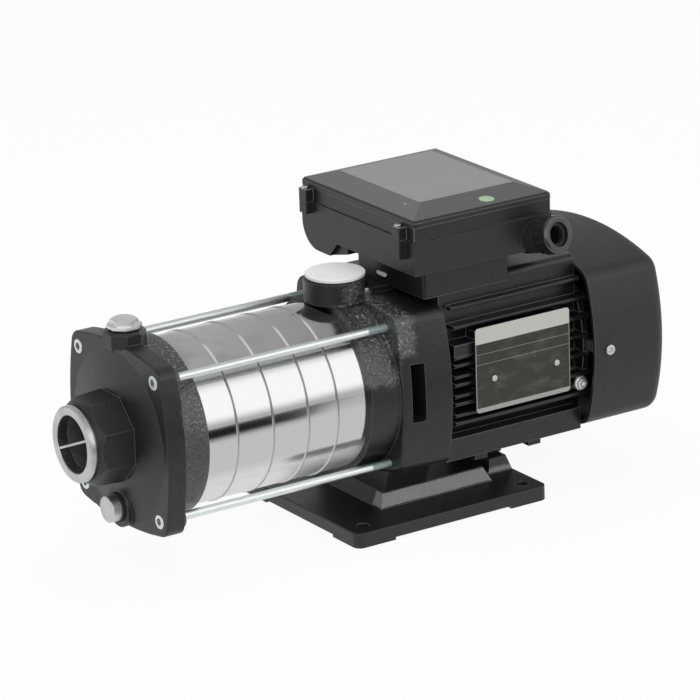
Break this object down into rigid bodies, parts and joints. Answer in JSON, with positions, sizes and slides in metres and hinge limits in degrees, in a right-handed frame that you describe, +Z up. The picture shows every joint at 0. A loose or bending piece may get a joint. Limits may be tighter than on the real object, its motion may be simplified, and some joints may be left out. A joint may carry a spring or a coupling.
{
  "type": "horizontal multistage pump",
  "caption": "Horizontal multistage centrifugal pump: cast suction end, stainless stage sleeve with tie rods, upright discharge port, finned motor, terminal box and base.",
  "frame": {"origin": "centre of the base's rectangle of four mounting holes, on the floor plane under the base's pads", "axes": "+X runs along the shaft from the suction port to the fan cover, +Z is up, -Y is the side with the nameplate and the cable gland"},
  "size_m": [0.4452, 0.1816, 0.2276],
  "materials": {
    "black_casting": "satin",
    "base_casting": "satin",
    "motor_paint": "satin",
    "cover_paint": "satin",
    "stainless_sleeve": "satin",
    "stainless_port": "satin",
    "zinc_steel": "bright",
    "plug_steel": "satin",
    "pressed_steel": "satin",
    "shaft_steel": "bright",
    "bearing_steel": "bright",
    "cast_shield": "matt",
    "core_steel": "satin",
    "winding_copper": "satin",
    "seal_rubber": "matt",
    "seal_carbon": "matt",
    "seal_ceramic": "polished",
    "box_plastic": "satin",
    "lid_plastic": "satin",
    "gland_plastic": "satin",
    "fan_plastic": "matt",
    "cap_plastic": "satin",
    "terminal_plastic": "matt",
    "capacitor_can": "satin",
    "plate_metal": "satin"
  },
  "bodies": {
    "root": {"base_plate": "base_casting", "foot_bolts": "zinc_steel", "suction_casing": "black_casting", "suction_port_ring": "stainless_port", "outer_sleeve": "stainless_sleeve", "sleeve_seals": "seal_rubber", "stage_chamber_1": "pressed_steel", "stage_chamber_2": "pressed_steel", "stage_chamber_3": "pressed_steel", "stage_chamber_4": "pressed_steel", "stage_chamber_5": "pressed_steel", "seal_seat": "seal_ceramic", "discharge_bracket": "black_casting", "platform_screw": "zinc_steel", "tie_rods": "zinc_steel", "front_bearing_outer": "bearing_steel", "rear_bearing_outer": "bearing_steel", "preload_spring": "bearing_steel", "motor_frame": "motor_paint", "seat_plug": "cap_plastic", "stator_core": "core_steel", "stator_winding": "winding_copper", "rear_end_shield": "cast_shield", "fan_cover": "cover_paint", "fan_cover_screws": "zinc_steel", "terminal_box": "box_plastic", "box_gasket": "seal_rubber", "terminal_lid": "lid_plastic", "lid_gasket": "seal_rubber", "lid_screws": "zinc_steel", "terminal_block": "terminal_plastic", "capacitor": "capacitor_can", "gland_body": "gland_plastic", "gland_seal": "seal_rubber", "nameplate": "plate_metal", "nameplate_rivets": "zinc_steel", "earth_screw": "zinc_steel"},
    "rotor": {"shaft": "shaft_steel", "impeller_1": "pressed_steel", "impeller_2": "pressed_steel", "impeller_3": "pressed_steel", "impeller_4": "pressed_steel", "impeller_5": "pressed_steel", "impeller_spacers": "pressed_steel", "impeller_nut": "zinc_steel", "seal_bellows": "seal_rubber", "seal_face": "seal_carbon", "slinger": "seal_rubber", "rotor_core": "core_steel", "front_bearing_inner": "bearing_steel", "rear_bearing_inner": "bearing_steel", "fan": "fan_plastic"},
    "priming": {"priming_plug": "plug_steel", "priming_plug_gasket": "seal_rubber"},
    "drain": {"drain_plug": "plug_steel", "drain_plug_gasket": "seal_rubber"},
    "dust_cap": {"discharge_cap": "cap_plastic"},
    "compression_nut": {"gland_nut": "gland_plastic"}
  },
  "joints": [
    {"name": "shaft_spin", "type": "hinge", "parent": "root", "child": "rotor", "pos_m": [0, 0, 0.097], "axis": [1, 0, 0], "continuous": true},
    {"name": "priming_plug_lift", "type": "slide", "parent": "root", "child": "priming", "axis": [0, 0, 1], "range_m": [0, 0.03]},
    {"name": "drain_plug_pull", "type": "slide", "parent": "root", "child": "drain", "axis": [-1, 0, 0], "range_m": [0, 0.03]},
    {"name": "cap_lift", "type": "slide", "parent": "root", "child": "dust_cap", "axis": [0, 0, 1], "range_m": [0, 0.05]},
    {"name": "gland_nut_turn", "type": "hinge", "parent": "root", "child": "compression_nut", "pos_m": [0.08305, -0.08443, 0.19923], "axis": [0.188, -0.9497, 0.2504], "range_deg": [0, 360]}
  ]
}
